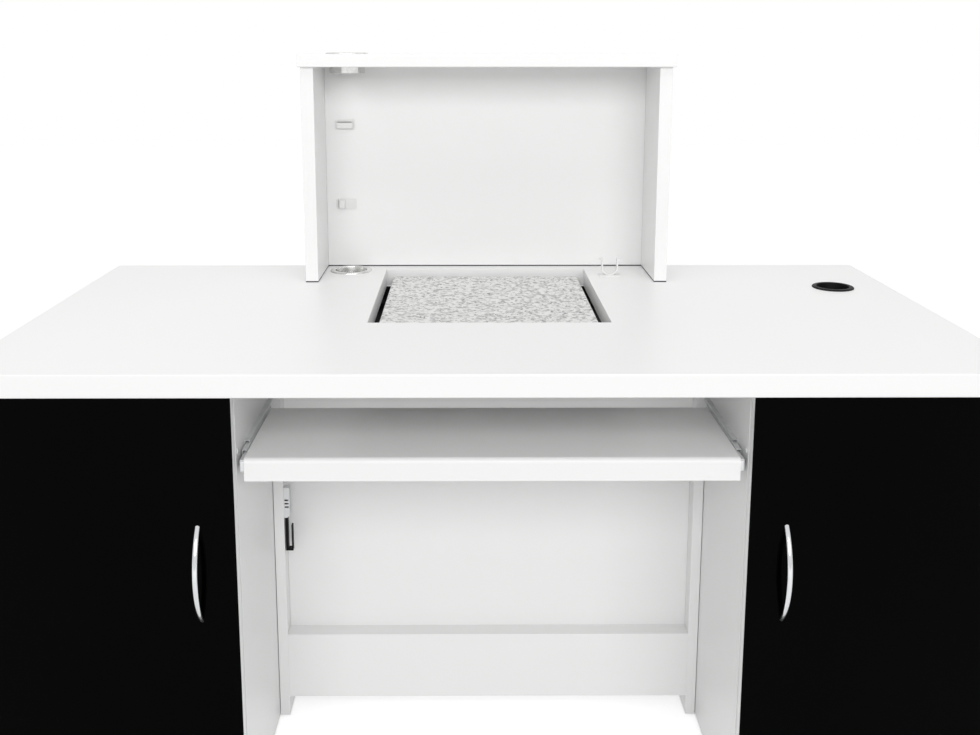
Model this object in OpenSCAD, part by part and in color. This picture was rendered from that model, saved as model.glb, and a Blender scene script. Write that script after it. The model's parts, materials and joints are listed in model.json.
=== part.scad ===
// Weighing workstation: a desk on two pedestals with a raised bridge shelf, a keyboard tray on
// telescopic slides, and a stone plate that stands on a frame of its own inside the desk.
// Origin on the floor under the middle of the worktop; X to the right, Y to the back, Z up.

/* [Worktop] */
// Width of the worktop, left to right
top_w = 1600; // [1560:10:1700]
// Depth of the worktop, front to back
top_d = 800; // [790:5:860]
// Thickness of the worktop board
top_t = 36; // [28:1:42]
// Height of the worktop's upper face above the floor
desk_h = 780; // [760:5:820]
// Radius of the eased edges of the thick boards
edge_r = 2; // [1:0.5:4]

/* [Stone plate] */
// Width of the opening in the worktop
opening_w = 422; // [400:2:440]
// Distance from the worktop's front edge to the opening
opening_front = 300; // [280:5:310]
// Distance from the opening to the worktop's rear edge
opening_rear = 47; // [40:1:60]
// Air gap between the opening and the stone
stone_gap = 16; // [10:1:20]
// Thickness of the stone plate
stone_t = 50; // [40:5:60]
// Depth of the stone's face below the worktop's face
stone_drop = 12; // [5:1:20]
// Bevel on the stone's edges
stone_bevel = 2; // [1:0.5:4]
// Depth of the rubber rests under the stone's front and rear edges
rest_d = 60; // [50:2:80]
// Thickness of the rubber under the stone
rest_h = 10; // [6:1:14]
// Thickness of the lip on the outer edge of a rest
rest_lip_t = 12; // [10:0.5:16]
// Gap between the stone and the lips
rest_gap = 8; // [6:0.5:10]
// Gap between the lips and the worktop above them
rest_clear = 1.5; // [1:0.5:4]

/* [Stone stand] */
// Distance from the worktop's front edge to the stand
stand_front = 345; // [343:1:350]
// Distance from the stand to the worktop's rear edge, which leaves room for cables
stand_rear = 98; // [96:1:120]
// Gap between the stand and the pedestals, which keeps them apart
stand_gap = 1; // [0.5:0.5:5]
// Height of the lower rail's underside above the floor
rail_z = 41.5; // [30:0.5:60]
// Height of the lower rail
rail_h = 127; // [100:1:150]
// Thickness of the lower rail
rail_t = 33; // [25:1:40]
// Thickness of the deck that carries the stone
deck_t = 36; // [25:1:45]
// Height of the upper rear rail
brace_h = 82; // [60:2:110]
// How far the deck and the rests reach past the stone on each side
deck_lip = 46; // [40:1:50]

/* [Pedestals] */
// Clear width between the two pedestals
knee_w = 786; // [770:2:800]
// Distance from the end of the worktop to a pedestal
ped_reveal = 10; // [9:0.5:20]
// Distance from the worktop's rear edge to a pedestal
ped_rear = 30; // [20:1:60]
// Thickness of the carcass boards
board_t = 18; // [16:1:22]
// Thickness of the back panels
back_t = 8; // [5:1:10]
// Width of the rebate that holds a back panel
rebate_w = 9; // [6:0.5:11]
// Height of the bottom board's underside above the floor
bottom_z = 30; // [25:1:60]
// Height of the shelf's underside above the floor
shelf_z = 384; // [300:4:460]
// Width of the rails at the top of a pedestal
top_rail_w = 90; // [60:5:120]
// Distance from the front of the carcass to the plinth
plinth_setback = 40; // [20:1:70]
// Number of rows of shelf pin holes
pin_rows = 5; // [3:2:9]
// Distance between two rows of shelf pin holes
pin_pitch = 32; // [25:1:40]
// Diameter of a shelf pin hole
pin_hole_d = 5; // [4:0.5:6]
// Height of the plastic glides under the boards
glide_h = 3; // [2:0.5:6]
// Height of the board that joins the pedestals at the back
tie_h = 110; // [80:5:140]
// Distance from the worktop down to that board, which leaves room for cables
tie_drop = 150; // [100:5:200]

/* [Doors] */
// Distance from the worktop's front edge to the door faces
door_front = 44; // [40:1:50]
// Thickness of the gloss facing on a door
facing_t = 1; // [0.8:0.1:2]
// Height of a door's lower edge above the floor
door_bottom = 14; // [8:1:24]
// Gap above a door, under the worktop
door_head_gap = 3; // [2:0.5:6]
// Gap between a door's edge and the carcass edge
door_edge_gap = 1; // [0.5:0.5:2]
// Height of one hinge
hinge_h = 60; // [50:2:80]
// Distance from a door's end to the nearest hinge
hinge_inset = 80; // [70:5:130]
// Thickness of a hinge leaf
leaf_t = 0.9; // [0.8:0.1:1.4]
// Width of a hinge leaf
leaf_w = 16; // [14:0.5:17]
// Radius of a hinge knuckle
knuckle_r = 4; // [3.5:0.1:4.2]
// Radius of a hinge pin
hinge_pin_r = 2; // [1.5:0.1:2.2]
// Distance from a door's upper edge to the middle of its magnetic catch
catch_drop = 101; // [60:1:140]
// Width of a catch, away from the side board
catch_w = 14; // [10:1:20]
// Length of a catch, front to back
catch_l = 40; // [30:1:60]
// Height of a catch
catch_h = 46; // [30:1:60]

/* [Handles] */
// Distance from a door's inner edge to the middle of its handle
handle_inset = 58; // [40:1:90]
// Height of the middle of a handle above the floor
handle_z = 446; // [420:2:500]
// Distance between the two screws of a handle
handle_pitch = 144; // [120:2:160]
// How far a handle stands out from the door
handle_reach = 32; // [28:1:40]
// Width of the bow, seen from the front
bow_w = 8.5; // [8:0.5:12]
// Thickness of the bow
bow_t = 7; // [6:0.5:9]
// Distance from a screw to the end of the handle
bow_end = 8.5; // [8:0.5:12]
// Diameter of the handle screws
handle_screw_d = 4; // [3:0.5:5]

/* [Keyboard tray] */
// Distance from the worktop's front edge to the tray at rest
tray_front = 56; // [50:1:60]
// Depth of the tray board
tray_d = 235; // [225:1:240]
// Thickness of the tray board
tray_t = 36; // [25:1:40]
// Room between the tray's upper face and the worktop's underside
tray_room = 115; // [100:1:140]
// Radius of the tray's front edge
tray_nose_r = 8; // [4:0.5:12]

/* [Telescopic slides] */
// Length of each slide member
slide_l = 210; // [200:1:212]
// Distance from the worktop's front edge to the outer member
slide_front = 130; // [125:1:131]
// How far the tray is drawn out at rest
slide_drawn = 64; // [60:1:68]
// Thickness of a closed slide, from the pedestal to the tray
slide_t = 13; // [13:0.1:14]
// Height of the outer member
slide_h = 35; // [34:0.5:38]
// Height of the slide's centre line below the tray's face
slide_below = 15; // [14:0.5:19]
// Thickness of the steel sheet in the slides
sheet_t = 1; // [0.8:0.1:1.1]
// Radius of the balls
ball_r = 1.2; // [1:0.1:1.3]
// Clearance of the balls in their races
ball_clear = 0.3; // [0.2:0.05:0.35]
// Distance between two balls
ball_pitch = 14; // [10:1:20]
// Diameter of the screw head in front of each slide
wall_screw_d = 10; // [8:0.5:12]

/* [Bridge shelf] */
// Width of the bridge over its side boards
bridge_w = 730; // [700:5:760]
// Depth of the bridge's side boards
bridge_d = 175; // [165:1:190]
// Height from the worktop to the upper face of the shelf
bridge_h = 455; // [400:5:500]
// Thickness of the bridge boards
bridge_t = 25; // [18:1:28]
// Overhang of the shelf at each end
shelf_end = 5; // [2:0.5:10]
// Overhang of the shelf at the front
shelf_nose = 10; // [4:0.5:16]
// Thickness of the bridge's back panel
panel_t = 10; // [8:0.5:11]
// Thickness of the black seal between the bridge and the worktop
seal_t = 2; // [1:0.5:4]

/* [Cable outlets] */
// Distance from the middle of the desk to the metal outlets, on the left
outlet_x = 286; // [280:1:290]
// Distance from the worktop's rear edge to the metal outlets
outlet_rear = 58; // [57:0.5:62]
// Diameter of a metal outlet's flange
outlet_flange_d = 88; // [84:0.5:89]
// Outer diameter of a metal outlet's sleeve
outlet_sleeve_d = 73; // [71:0.5:80]
// Inner diameter of a metal outlet
outlet_bore_d = 67; // [60:1:69]
// Length of a metal outlet's sleeve below the flange
outlet_l = 39; // [37:1:50]
// Distance from the right end of the worktop to the black outlet
black_end = 114; // [100:1:160]
// Distance from the worktop's front edge to the black outlet
black_front = 574; // [540:1:600]
// Diameter of the black outlet's flange
black_flange_d = 80; // [76:1:90]
// Outer diameter of the black outlet's sleeve
black_sleeve_d = 70; // [64:0.5:72]
// Inner diameter of the black outlet
black_bore_d = 62; // [50:1:62]
// Length of the black outlet's sleeve
black_l = 30; // [20:1:40]
// Thickness of the flanges
flange_t = 3; // [2:0.5:4]
// Clearance between a sleeve and its hole in the board
sleeve_clear = 0.5; // [0.2:0.1:1]

/* [Cable clips and hook] */
// Width of a clip's adhesive base
clip_w = 42; // [36:1:50]
// Height of a clip's adhesive base
clip_h = 22; // [18:1:28]
// Thickness of a clip's adhesive base
clip_base_t = 2; // [1:0.5:3]
// Outer width of a clip's arch
clip_arch_w = 17; // [15:0.5:20]
// How far the arch stands out from its base
clip_reach = 9; // [8:0.5:12]
// Thickness of a clip's arch
clip_arch_t = 1.8; // [1.2:0.1:2.2]
// Distance from the middle of the desk to the wall clips, on the left
clip_x = 298; // [290:1:304]
// Height of the upper clip above the worktop
clip_high = 307; // [280:1:330]
// Height of the lower clip above the worktop
clip_low = 137; // [100:1:170]
// Distance from the middle of the desk to the standing clip, on the right
fork_x = 258; // [250:1:290]
// Distance from the worktop's front edge to the standing clip
fork_front = 690; // [670:1:700]
// Outer width of the standing clip
fork_w = 34; // [28:1:38]
// Height of the standing clip
fork_h = 36; // [30:1:42]
// Thickness of the standing clip's arms
fork_t = 2.8; // [2:0.1:4]
// How far the lips at the ends of the arms reach outwards
fork_lip = 5; // [3:0.5:8]
// Height of the cable hook's lower end above the floor
hook_z = 335; // [320:1:360]
// Length of the hook's arm below its bracket
hook_l = 65; // [50:1:80]
// How far the hook stands out from the stand
hook_reach = 15; // [14.5:0.5:20]
// Thickness of the hook's arm
hook_t = 5; // [4:0.5:6]
// Width of the hook, front to back
hook_w = 10; // [8:0.5:16]
// Height of the upturned end of the hook
hook_lip = 50; // [10:1:60]
// Height of the hook's bracket
bracket_h = 58; // [50:1:70]
// How far the bracket stands out from the stand
bracket_d = 11; // [9:0.5:13]
// Thickness of the bracket's steel sheet
bracket_t = 1.5; // [1:0.1:2]

/* [Hidden] */
$fn = 48;

// A cut reaches this far past the face it opens
cut = 1;
// Flat faces of moving pieces pass each other at this distance
run_gap = 0.3;
// A pin or screw turns in its hole at this radial clearance
pin_clear = 0.05;

// Heights
top_z = desk_h - top_t;
stone_top = desk_h - stone_drop;
stone_z = stone_top - stone_t;
deck_top = stone_z - rest_h;
deck_z = deck_top - deck_t;
tray_z = top_z - tray_room;
slide_z = tray_z - slide_below;
shelf_top = desk_h + bridge_h;
shelf_under = shelf_top - bridge_t;

// Fronts and backs, measured from the middle of the worktop
function from_front(distance) = distance - top_d / 2;
opening_y = from_front(opening_front);
opening_d = top_d - opening_front - opening_rear;
stone_y = opening_y + stone_gap;
deck_y = stone_y - rest_gap - rest_lip_t;
stand_y = from_front(stand_front);
stand_back = top_d / 2 - stand_rear;
stand_d = stand_back - stand_y;
door_t = board_t + facing_t;
door_y = from_front(door_front);
door_back = door_y + door_t;
hinge_gap = 2 * leaf_t + 2 * run_gap / 3;
carcass_y = door_back + hinge_gap;
carcass_back = top_d / 2 - ped_rear;
carcass_d = carcass_back - carcass_y;
inner_back = carcass_back - back_t;
bridge_y = top_d / 2 - bridge_d;
panel_y = top_d / 2 - panel_t;
tray_y = from_front(tray_front);
slide_y = from_front(slide_front);

// Widths and sides
stone_w = opening_w - 2 * stone_gap;
stone_d = opening_d - 2 * stone_gap;
deck_d = stone_d + 2 * (rest_gap + rest_lip_t);
ped_in = knee_w / 2;
ped_out = top_w / 2 - ped_reveal;
cabinet_in = ped_in + board_t;
cabinet_out = ped_out - board_t;
stand_out = ped_in - stand_gap;
stand_in = stand_out - board_t;
deck_w = stone_w + 2 * deck_lip;
tray_w = knee_w - 2 * slide_t;
bridge_in = bridge_w / 2 - bridge_t;
door_in = ped_in + door_edge_gap;
door_out = ped_out - door_edge_gap;
door_w = door_out - door_in;
door_top = top_z - door_head_gap;
door_h = door_top - door_bottom;
handle_x = door_in + handle_inset;

// Hinges: the axis lies just outside the carcass, between the two leaves
hinge_x = ped_out + knuckle_r + 2 * run_gap;
hinge_y = carcass_y - hinge_gap / 2;
hinge_zs = [
    door_bottom + hinge_inset,
    (door_bottom + door_top) / 2,
    door_top - hinge_inset
];
knuckle_h = hinge_h / 3;

// Bow of a handle: its outer circle passes through both ends and the highest point
bow_half = handle_pitch / 2 + bow_end;
bow_r = (bow_half * bow_half + handle_reach * handle_reach) / (2 * handle_reach);
handle_hole_depth = 5;
screw_head_t = 2.5;

// Slides: each smaller member hangs on balls inside the larger one
race_r = ball_r + ball_clear;
member_step = sheet_t + 2 * race_r;
middle_half = slide_h / 2 - member_step;
inner_half = middle_half - member_step;
outer_ball_u = 6;
inner_ball_u = 8;
middle_web_u = 2 * sheet_t;
inner_lip_u = 5;
cage_l = slide_l / 2 - 12;
cage_inset = 6;
cage_t = 0.6;

// Shelf pins
pin_depth = 10;
pin_front = 60;
pin_drop = 7;
pin_ys = [carcass_y + pin_front, inner_back - pin_front];
shelf_setback = 20;
shelf_gap = 1;

// Places of the cable outlets
outlet_y = top_d / 2 - outlet_rear;
black_x = top_w / 2 - black_end;
black_y = from_front(black_front);

// Cable hook: its arm sits in a channel-shaped bracket, both held by the same two screws
hook_tip_t = 2.5;
hook_foot_t = 5;
hook_cover = 40;
hook_screw_d = 3;
hook_screw_pitch = 20;
slot_h = 3;
slot_pitch = 6.6;
bracket_w = hook_w + 2 * bracket_t + 2 * run_gap;
bracket_z = hook_z + hook_l;
hook_y = stand_y + bracket_w / 2 + 1;

// Magnetic catches and the plates that they hold
catch_z = door_top - catch_drop;
strike_t = 1.2;

// Shared shapes

module on_the_left() {
    mirror([1, 0, 0]) children();
}

module on_both_sides() {
    children();
    on_the_left() children();
}

// Rectangle with round corners, its lower left corner at the origin
module round_rect(w, h, r) {
    translate([r, 0]) square([w - 2 * r, h]);
    translate([0, r]) square([w, h - 2 * r]);
    for (x = [r, w - r], y = [r, h - r])
        translate([x, y]) circle(r);
}

// Board with eased edges, made where its front view and its side view meet
module eased_board(w, d, t, r) {
    intersection() {
        translate([0, d, 0]) rotate([90, 0, 0]) linear_extrude(d) round_rect(w, t, r);
        rotate([90, 0, 90]) linear_extrude(w) round_rect(d, t, r);
    }
}

// Rectangle with bevelled upper corners, its lower left corner at the origin
module bevelled_rect(w, h, b) {
    polygon([[0, 0], [w, 0], [w, h - b], [w - b, h], [b, h], [0, h - b]]);
}

// Part of a flat ring that runs from the top over to the far side, round the origin
module ring_hook(r, t, below) {
    difference() {
        circle(r + t);
        circle(r);
        translate([-2 * (r + t), -2 * (r + t)]) square([2 * (r + t), 4 * (r + t)]);
        translate([-cut, -2 * (r + t)]) square([2 * (r + t), 2 * (r + t) - below]);
    }
}

// Worktop and stone

module worktop() {
    color("white") difference() {
        translate([-top_w / 2, -top_d / 2, top_z]) eased_board(top_w, top_d, top_t, edge_r);
        translate([-opening_w / 2, opening_y, top_z - cut])
            cube([opening_w, opening_d, top_t + 2 * cut]);
        translate([-outlet_x, outlet_y, top_z - cut])
            cylinder(h = top_t + 2 * cut, d = outlet_sleeve_d + 2 * sleeve_clear);
        translate([black_x, black_y, top_z - cut])
            cylinder(h = top_t + 2 * cut, d = black_sleeve_d + 2 * sleeve_clear);
    }
}

module stone_plate() {
    color("gainsboro") translate([-stone_w / 2, stone_y, stone_z]) intersection() {
        translate([0, stone_d, 0]) rotate([90, 0, 0])
            linear_extrude(stone_d) bevelled_rect(stone_w, stone_t, stone_bevel);
        rotate([90, 0, 90]) linear_extrude(stone_w) bevelled_rect(stone_d, stone_t, stone_bevel);
    }
}

// Two rubber rests, each with a lip that keeps the stone from the worktop
module stone_rests() {
    lip_h = top_z - rest_clear - deck_top;
    outline = [
        [0, 0], [rest_d, 0], [rest_d, rest_h], [rest_lip_t, rest_h], [rest_lip_t, lip_h], [0, lip_h]
    ];
    color("dimgray") translate([0, deck_y + deck_d / 2, deck_top])
        for (side = [0, 1])
            mirror([0, side, 0]) translate([-deck_w / 2, -deck_d / 2, 0]) rotate([90, 0, 90])
                linear_extrude(deck_w) polygon(outline);
}

// Stand of the stone: it touches neither the pedestals nor the worktop

module stand_side() {
    color("white") translate([stand_in, stand_y, glide_h])
        cube([board_t, stand_d, deck_z - glide_h]);
}

module stand_side_left() {
    on_the_left() stand_side();
}

module stand_side_right() {
    stand_side();
}

// Black deck on the front panel and the rear rail, as deep as the stone with its rests
module stand_deck() {
    color("black") translate([-deck_w / 2, deck_y, deck_z]) cube([deck_w, deck_d, deck_t]);
}

module stand_front_panel() {
    color("white") translate([-stand_in, stand_y + rail_t, rail_z])
        cube([2 * stand_in, board_t, deck_z - rail_z]);
}

module stand_lower_rail() {
    color("white") translate([-stand_in, stand_y, rail_z]) cube([2 * stand_in, rail_t, rail_h]);
}

module stand_rear_rail() {
    color("white") translate([-stand_in, stand_back - board_t, deck_z - brace_h])
        cube([2 * stand_in, board_t, brace_h]);
}

// Pedestals, drawn on the right and mirrored to the left

// Side board with its cabinet face at x = 0, a rebate for the back and rows of shelf pin holes
module ped_side() {
    difference() {
        translate([-board_t, carcass_y, glide_h]) cube([board_t, carcass_d, top_z - glide_h]);
        translate([-rebate_w, inner_back, bottom_z]) cube([rebate_w + cut, back_t + cut, top_z]);
        for (y = pin_ys, row = [0:pin_rows - 1])
            translate([-pin_depth, y, shelf_z - pin_drop + (row - (pin_rows - 1) / 2) * pin_pitch])
                rotate([0, 90, 0]) cylinder(h = pin_depth + cut, d = pin_hole_d);
    }
}

module ped_outer_side() {
    color("white") translate([cabinet_out, 0, 0]) mirror([1, 0, 0]) ped_side();
}

module ped_inner_side() {
    color("white") translate([cabinet_in, 0, 0]) ped_side();
}

module ped_bottom() {
    color("white") translate([cabinet_in, carcass_y, bottom_z])
        cube([cabinet_out - cabinet_in, inner_back - carcass_y, board_t]);
}

module ped_shelf() {
    color("white") translate([cabinet_in + shelf_gap, carcass_y + shelf_setback, shelf_z])
        cube([
            cabinet_out - cabinet_in - 2 * shelf_gap,
            inner_back - carcass_y - shelf_setback - shelf_gap,
            board_t
        ]);
}

module ped_back() {
    color("white") translate([cabinet_in - rebate_w, inner_back, bottom_z])
        cube([cabinet_out - cabinet_in + 2 * rebate_w, back_t, top_z - bottom_z]);
}

module ped_top_rails() {
    color("white")
        for (y = [carcass_y, inner_back - top_rail_w])
            translate([cabinet_in, y, top_z - board_t])
                cube([cabinet_out - cabinet_in, top_rail_w, board_t]);
}

module left_outer_side() {
    on_the_left() ped_outer_side();
}

module left_inner_side() {
    on_the_left() ped_inner_side();
}

module left_bottom() {
    on_the_left() ped_bottom();
}

module left_shelf() {
    on_the_left() ped_shelf();
}

module left_back() {
    on_the_left() ped_back();
}

module left_top_rails() {
    on_the_left() ped_top_rails();
}

module right_outer_side() {
    ped_outer_side();
}

module right_inner_side() {
    ped_inner_side();
}

module right_bottom() {
    ped_bottom();
}

module right_shelf() {
    ped_shelf();
}

module right_back() {
    ped_back();
}

module right_top_rails() {
    ped_top_rails();
}

// Stamped support: a plug in the side board, a plate against the board and a tongue under the shelf
module shelf_pin() {
    tongue_w = 10;
    tongue_t = 1.5;
    tongue_l = 11;
    translate([-pin_depth + cut, 0, -pin_drop]) rotate([0, 90, 0])
        cylinder(h = pin_depth, d = pin_hole_d - 2 * pin_clear);
    translate([0, -tongue_w / 2, -pin_drop - tongue_w / 2])
        cube([tongue_t, tongue_w, pin_drop + tongue_w / 2]);
    translate([0, -tongue_w / 2, -tongue_t]) cube([tongue_l, tongue_w, tongue_t]);
}

module shelf_pins() {
    color("silver") on_both_sides()
        for (y = pin_ys) {
            translate([cabinet_in, y, shelf_z]) shelf_pin();
            translate([cabinet_out, y, shelf_z]) mirror([1, 0, 0]) shelf_pin();
        }
}

module plinth_boards() {
    color("white") on_both_sides()
        translate([cabinet_in, carcass_y + plinth_setback, glide_h])
            cube([cabinet_out - cabinet_in, board_t, bottom_z - glide_h]);
}

module tie_board() {
    color("white") translate([-ped_in, carcass_back - board_t, top_z - tie_drop - tie_h])
        cube([knee_w, board_t, tie_h]);
}

// Nail-in glides under every side board that stands on the floor
module floor_glides() {
    glide_inset = 40;
    color("gray") on_both_sides() {
        for (x = [ped_in, cabinet_out], y = [carcass_y + glide_inset, carcass_back - glide_inset])
            translate([x + board_t / 2, y, 0]) glide();
        for (y = [stand_y + glide_inset, stand_back - glide_inset])
            translate([stand_in + board_t / 2, y, 0]) glide();
    }
}

module glide() {
    rim = glide_h / 3;
    cylinder(h = rim, r1 = board_t / 2 - 1 - rim, r2 = board_t / 2 - 1);
    translate([0, 0, rim]) cylinder(h = glide_h - rim, d = board_t - 2);
}

// Bridge shelf

module bridge_seal() {
    color("black") translate([0, bridge_y, desk_h]) linear_extrude(seal_t) difference() {
        translate([-bridge_w / 2, 0]) square([bridge_w, bridge_d]);
        translate([-bridge_in, -cut]) square([2 * bridge_in, bridge_d - panel_t + cut]);
    }
}

module bridge_side() {
    color("white") translate([bridge_in, bridge_y, desk_h + seal_t])
        cube([bridge_t, bridge_d, shelf_under - desk_h - seal_t]);
}

module bridge_side_left() {
    on_the_left() bridge_side();
}

module bridge_side_right() {
    bridge_side();
}

module bridge_top() {
    w = bridge_w + 2 * shelf_end;
    d = bridge_d + shelf_nose;
    color("white") difference() {
        translate([-w / 2, top_d / 2 - d, shelf_under]) eased_board(w, d, bridge_t, edge_r);
        translate([-outlet_x, outlet_y, shelf_under - cut])
            cylinder(h = bridge_t + 2 * cut, d = outlet_sleeve_d + 2 * sleeve_clear);
    }
}

module bridge_back() {
    color("white") translate([-bridge_in, panel_y, desk_h + seal_t])
        cube([2 * bridge_in, panel_t, shelf_under - desk_h - seal_t]);
}

// Cable outlets: a flange with a rounded rim on a sleeve, seated on z = 0
module outlet(flange_d, sleeve_d, bore_d, sleeve_l) {
    rim = flange_t / 2;
    rotate_extrude() {
        translate([bore_d / 2, -sleeve_l]) square([(sleeve_d - bore_d) / 2, sleeve_l]);
        translate([bore_d / 2, 0]) square([(flange_d - bore_d) / 2, rim]);
        translate([bore_d / 2 + rim, 0]) square([(flange_d - bore_d) / 2 - 2 * rim, flange_t]);
        for (x = [bore_d / 2 + rim, flange_d / 2 - rim])
            translate([x, rim]) circle(rim);
    }
}

module desk_outlet() {
    color("silver") translate([-outlet_x, outlet_y, desk_h])
        outlet(outlet_flange_d, outlet_sleeve_d, outlet_bore_d, outlet_l);
}

module shelf_outlet() {
    color("silver") translate([-outlet_x, outlet_y, shelf_top])
        outlet(outlet_flange_d, outlet_sleeve_d, outlet_bore_d, outlet_l);
}

module black_outlet() {
    color("black") translate([black_x, black_y, desk_h])
        outlet(black_flange_d, black_sleeve_d, black_bore_d, black_l);
}

// Cable clips and hook

// Adhesive base of a wall clip, its back on the plane y = 0
module clip_base() {
    translate([-clip_w / 2, 0, -clip_h / 2]) rotate([90, 0, 0])
        linear_extrude(clip_base_t) round_rect(clip_w, clip_h, clip_h / 6);
}

// Arch over a cable, its feet on y = 0 and its roof slit next to one foot
module clip_arch() {
    slit = 2.5;
    bevel = clip_reach / 4;
    difference() {
        bevelled_rect(clip_arch_w, clip_reach, bevel);
        translate([clip_arch_t, -cut])
            bevelled_rect(clip_arch_w - 2 * clip_arch_t, clip_reach - clip_arch_t + cut, bevel);
        translate([clip_arch_t, clip_reach / 2]) square([slit, clip_reach]);
    }
}

// The upper clip guides a cable along the shelf, the lower one a cable that runs upwards
module cable_clip_upper() {
    arch_l = clip_w * 0.8;
    color("white") translate([-clip_x, panel_y, desk_h + clip_high]) {
        clip_base();
        translate([-arch_l / 2, -clip_base_t / 2, clip_arch_w / 2]) rotate([0, 90, 0])
            linear_extrude(arch_l) mirror([0, 1]) clip_arch();
    }
}

module cable_clip_lower() {
    arch_l = clip_h * 0.8;
    color("white") translate([-clip_x, panel_y, desk_h + clip_low]) {
        clip_base();
        translate([-clip_w / 2 + clip_base_t, -clip_base_t / 2, -arch_l / 2])
            linear_extrude(arch_l) mirror([0, 1]) clip_arch();
    }
}

// Standing clip: a base on the worktop and a U that is open at the top, with a lip on each arm
module cable_fork() {
    fork_d = 12;
    base_t = 2;
    r = fork_w / 2;
    w = fork_w + 2 * fork_lip;
    centre_z = r + base_t / 2;
    color("white") translate([fork_x, from_front(fork_front), desk_h]) {
        translate([-w / 2, -fork_d, 0]) linear_extrude(base_t) round_rect(w, 2 * fork_d, 3);
        translate([0, fork_d / 2, 0]) rotate([90, 0, 0]) linear_extrude(fork_d) {
            difference() {
                union() {
                    translate([0, centre_z]) circle(r);
                    translate([-r, centre_z]) square([fork_w, fork_h - centre_z]);
                }
                translate([0, centre_z]) circle(r - fork_t);
                translate([fork_t - r, centre_z]) square([fork_w - 2 * fork_t, fork_h]);
            }
            for (x = [-w / 2, r - fork_t / 2])
                translate([x, fork_h - fork_t]) square([fork_lip + fork_t / 2, fork_t]);
        }
    }
}

// Channel on the stand's left side board, open downwards, with three slots in its front flange
module cable_hook_bracket() {
    slope = bracket_d / 2;
    outline = [
        [0, 0], [bracket_d - slope, 0], [bracket_d, slope], [bracket_d, bracket_h], [0, bracket_h]
    ];
    color("gray") difference() {
        translate([-stand_in, hook_y + bracket_w / 2, bracket_z]) rotate([90, 0, 0])
            linear_extrude(bracket_w) polygon(outline);
        translate([-stand_in + bracket_t, hook_y - bracket_w / 2 + bracket_t, bracket_z - cut])
            cube([bracket_d, bracket_w - 2 * bracket_t, bracket_h - bracket_t + cut]);
        for (i = [-1:1])
            translate([
                -stand_in + bracket_t,
                hook_y - bracket_w / 2 - cut,
                bracket_z + bracket_h / 2 - slot_h + i * slot_pitch
            ])
                cube([bracket_d - 2 * bracket_t, bracket_t + 2 * cut, slot_h]);
        at_hook_screws() rotate([0, 90, 0])
            cylinder(h = 4 * bracket_t, d = hook_screw_d, center = true);
    }
}

// Arm that rises into the bracket and turns up at its lower end
module cable_hook() {
    back = bracket_t;
    arm_front = back + hook_t;
    outline = [
        [back, 0], [hook_reach, 0], [hook_reach, hook_lip], [hook_reach - hook_tip_t, hook_lip],
        [hook_reach - hook_tip_t, hook_foot_t], [arm_front, hook_foot_t],
        [arm_front, hook_l + hook_cover], [back, hook_l + hook_cover]
    ];
    color("black") difference() {
        translate([-stand_in, hook_y + hook_w / 2, hook_z]) rotate([90, 0, 0])
            linear_extrude(hook_w) polygon(outline);
        at_hook_screws() rotate([0, 90, 0])
            cylinder(h = 2 * hook_reach, d = hook_screw_d, center = true);
    }
}

module at_hook_screws() {
    for (side = [-1, 1])
        translate([-stand_in, hook_y, bracket_z + hook_cover / 2 + side * hook_screw_pitch / 2])
            children();
}

module cable_hook_screws() {
    head_t = 1.8;
    shank_l = bracket_t + hook_t;
    color("dimgray") at_hook_screws() rotate([0, 90, 0]) {
        cylinder(h = shank_l, d = hook_screw_d - 2 * pin_clear);
        translate([0, 0, shank_l]) cylinder(h = head_t, d = hook_screw_d + 2);
    }
}

// Telescopic slides: profiles with u from the pedestal towards the tray, mirrored top and bottom

module mirrored_profile() {
    children();
    mirror([0, 1]) children();
}

module outer_profile() {
    half = slide_h / 2;
    translate([0, -half]) square([sheet_t, slide_h]);
    mirrored_profile() {
        translate([0, half - sheet_t]) square([outer_ball_u, sheet_t]);
        translate([outer_ball_u, half - sheet_t - race_r]) ring_hook(race_r, sheet_t, 1);
    }
}

module middle_profile() {
    translate([middle_web_u, -middle_half]) square([sheet_t, 2 * middle_half]);
    mirrored_profile() {
        translate([middle_web_u, middle_half - sheet_t])
            square([inner_ball_u - middle_web_u, sheet_t]);
        translate([inner_ball_u, middle_half - sheet_t - race_r]) ring_hook(race_r, sheet_t, 0.5);
    }
}

module inner_profile() {
    translate([slide_t - sheet_t, -inner_half]) square([sheet_t, 2 * inner_half]);
    mirrored_profile()
        translate([inner_lip_u, inner_half - sheet_t]) square([slide_t - inner_lip_u, sheet_t]);
}

// Member of the right-hand slide, with u running from the pedestal wall towards the middle
module slide_member(front, length) {
    translate([ped_in, front + length, slide_z]) rotate([90, 0, 0])
        linear_extrude(length) mirror([1, 0]) children();
}

module slide_outers() {
    color("lightsteelblue") on_both_sides() slide_member(slide_y, slide_l) outer_profile();
}

module slide_middles() {
    color("lightsteelblue") on_both_sides()
        slide_member(slide_y - slide_drawn / 2, slide_l) middle_profile();
}

module slide_inners() {
    color("lightsteelblue") on_both_sides()
        slide_member(slide_y - slide_drawn, slide_l) inner_profile();
}

// Strip with a row of balls, its first ball half a pitch from its front end
module ball_cage(front, u, v) {
    count = floor(cage_l / ball_pitch);
    translate([ped_in - u - ball_r, front, slide_z + v - cage_t / 2])
        cube([2 * ball_r + sheet_t, cage_l, cage_t]);
    for (i = [0:count - 1])
        translate([ped_in - u, front + (i + 0.5) * ball_pitch, slide_z + v]) sphere(ball_r);
}

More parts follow.
